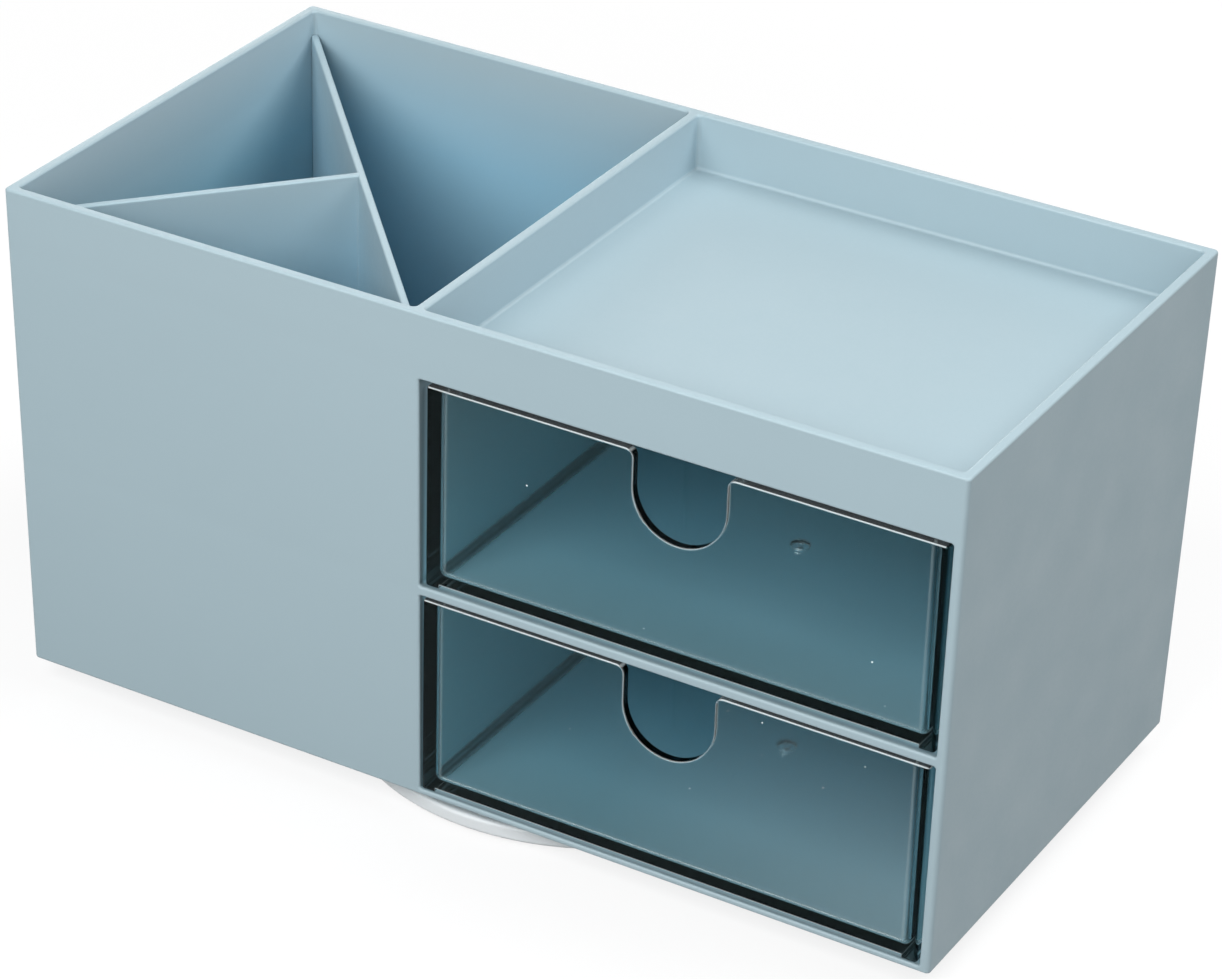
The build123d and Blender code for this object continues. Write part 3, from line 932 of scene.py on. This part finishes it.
class ORGANISER_OT_foot(bpy.types.Operator):
    """Dress the foot ring in dark rubber with dust in its grain."""

    bl_idname = "organiser.foot"
    bl_label = "Foot Ring"

    def execute(self, context):
        """Dust lies in patches, a little paler than the rubber."""
        look = context.scene.organiser_turntable
        finish, tree, output, place = new_finish("foot_rubber_matte")
        dust = spread(tree, grain(tree, place, DUST_SIZE, DUSTY), *DUST_NOISE, 0.0, DUST_MOST)
        colour = blend_colours(tree, dust, tinted(look.rubber_colour), tinted(look.dust_colour))
        rough = drift(tree, grain(tree, place, RUBBER_ROUGH_SIZE, CLOUDY), *RUBBER_ROUGH)
        fine = raise_surface(tree, grain(tree, place, RUBBER_GRAIN_SIZE, CLOUDY), RUBBER_GRAIN_DEPTH)
        coat(tree, output, {"Base Color": colour, "Roughness": rough, "Normal": fine})
        dress("foot_ring", finish)
        return {"FINISHED"}


# The floor's fibres and how little they show, and the distances over which its glow rises to full white.
FIBRE_SIZE = 40 * MM
FIBRE_TONES = (0.995, 1.005)
GLOW_REACH = (0.3, 1.6)

# The camera's sensor, in millimetres as Blender takes it, and the nearest that it sees.
SENSOR_WIDTH = 36.0
NEAREST_SEEN = 10 * MM


def seen_directly(tree):
    """1 for what the eye sees straight, in a gloss or through clear plastic, else 0."""
    path = add(tree, "LightPath")
    kinds = ("Is Camera Ray", "Is Glossy Ray", "Is Transmission Ray")
    return largest(tree, *(path.outputs[kind] for kind in kinds))


def make_floor(look):
    """A plain pale floor that keeps the soft shadow of what stands on it."""
    half = look.floor_size / 2
    mesh = bpy.data.meshes.new("floor")
    corners = [(-half, -half, 0.0), (half, -half, 0.0), (half, half, 0.0), (-half, half, 0.0)]
    mesh.from_pydata(corners, [], [(0, 1, 2, 3)])
    floor = bpy.data.objects.new("floor", mesh)
    bpy.context.scene.collection.objects.link(floor)
    finish, tree, output, place = new_finish("floor_paper")
    fibre = grain(tree, place, FIBRE_SIZE, CLOUDY)
    paper = blend_colours(tree, fibre, *two_tones(look.floor_colour, FIBRE_TONES))
    matte = add(tree, "BsdfDiffuse", {"Color": paper})
    away = add(tree, "VectorMath", {0: place}, operation="LENGTH").outputs["Value"]
    level = spread(tree, away, *GLOW_REACH, look.floor_glow, 1.0)
    glow = add(tree, "Emission", {"Color": WHITE, "Strength": product(tree, seen_directly(tree), level)})
    both = add(tree, "AddShader", {0: matte.outputs["BSDF"], 1: glow.outputs["Emission"]})
    feed(tree, output.inputs["Surface"], both.outputs["Shader"])
    mesh.materials.append(finish)


def make_softbox(name, place, aim, side, power):
    """A square softbox that points at a place on the object."""
    lamp = bpy.data.lights.new(name, "AREA")
    lamp.shape = "SQUARE"
    lamp.size = side
    lamp.energy = power
    softbox = bpy.data.objects.new(name, lamp)
    bpy.context.scene.collection.objects.link(softbox)
    softbox.visible_camera = False
    softbox.location = place
    softbox.rotation_euler = (Vector(aim) - Vector(place)).to_track_quat("-Z", "Y").to_euler()


def make_world(look):
    """Even light from all round, with a white background for the eye."""
    world = bpy.data.worlds.new("studio")
    world.use_nodes = True
    tree = world.node_tree
    tree.nodes.clear()
    strength = spread(tree, seen_directly(tree), 0.0, 1.0, look.ambient, 1.0)
    sky = add(tree, "Background", {"Color": WHITE, "Strength": strength})
    feed(tree, add(tree, "OutputWorld").inputs["Surface"], sky.outputs["Background"])
    bpy.context.scene.world = world


def make_camera(look):
    """A camera at the place and turn that the photograph was taken from."""
    lens = bpy.data.cameras.new("camera")
    lens.sensor_width = SENSOR_WIDTH
    lens.lens = look.camera_lens
    lens.clip_start = NEAREST_SEEN
    camera = bpy.data.objects.new("camera", lens)
    bpy.context.scene.collection.objects.link(camera)
    camera.location = look.camera_place
    camera.rotation_euler = Euler(look.camera_turn)
    bpy.context.scene.camera = camera


class ORGANISER_OT_stage(bpy.types.Operator):
    """Set up the floor, the softboxes, the even light and the camera."""

    bl_idname = "organiser.stage"
    bl_label = "Stage"

    def execute(self, context):
        """Two softboxes hang high, on the right and in front, and two stand low, in front and behind."""
        look = context.scene.organiser_stage
        make_floor(look)
        make_softbox("side_softbox", look.side_place, look.lamp_aim, look.side_size, look.side_power)
        make_softbox("front_softbox", look.key_place, look.lamp_aim, look.softbox_size, look.key_power)
        make_softbox("low_softbox", look.fill_place, look.lamp_aim, look.softbox_size, look.fill_power)
        make_softbox("back_softbox", look.back_place, look.lamp_aim, look.softbox_size, look.back_power)
        make_world(look)
        make_camera(look)
        context.scene.view_settings.view_transform = "Standard"
        return {"FINISHED"}


class VIEW3D_PT_organiser(bpy.types.Panel):
    """The organiser's operators and what can be set for them."""

    bl_idname = "VIEW3D_PT_organiser"
    bl_label = "Organiser"
    bl_space_type = "VIEW_3D"
    bl_region_type = "UI"
    bl_category = "Organiser"

    def draw(self, context):
        """List each group of settings, then each operator."""
        for group in LOOKS:
            column = self.layout.column()
            settings = getattr(context.scene, group)
            for name in type(settings).__annotations__:
                column.prop(settings, name)
        for operator in OPERATORS:
            self.layout.operator(operator.bl_idname)


LOOKS = {
    "organiser_housing": HousingLook,
    "organiser_drawers": DrawerLook,
    "organiser_turntable": TurntableLook,
    "organiser_stage": StageLook,
}
OPERATORS = (
    ORGANISER_OT_housing,
    ORGANISER_OT_divider,
    ORGANISER_OT_drawers,
    ORGANISER_OT_turntable,
    ORGANISER_OT_steel,
    ORGANISER_OT_cage,
    ORGANISER_OT_foot,
    ORGANISER_OT_stage,
)


def register():
    """Add the settings, the operators and the panel to Blender."""
    for name, look in LOOKS.items():
        bpy.utils.register_class(look)
        setattr(bpy.types.Scene, name, bpy.props.PointerProperty(type=look))
    for operator in OPERATORS:
        bpy.utils.register_class(operator)
    bpy.utils.register_class(VIEW3D_PT_organiser)


def unregister():
    """Take the panel, the operators and the settings out of Blender again."""
    bpy.utils.unregister_class(VIEW3D_PT_organiser)
    for operator in reversed(OPERATORS):
        bpy.utils.unregister_class(operator)
    for name, look in LOOKS.items():
        delattr(bpy.types.Scene, name)
        bpy.utils.unregister_class(look)


def main():
    """Dress every piece and set the stage."""
    register()
    bpy.ops.organiser.housing()
    bpy.ops.organiser.divider()
    bpy.ops.organiser.drawers()
    bpy.ops.organiser.turntable()
    bpy.ops.organiser.steel()
    bpy.ops.organiser.cage()
    bpy.ops.organiser.foot()
    bpy.ops.organiser.stage()


if __name__ == "__main__":
    main()
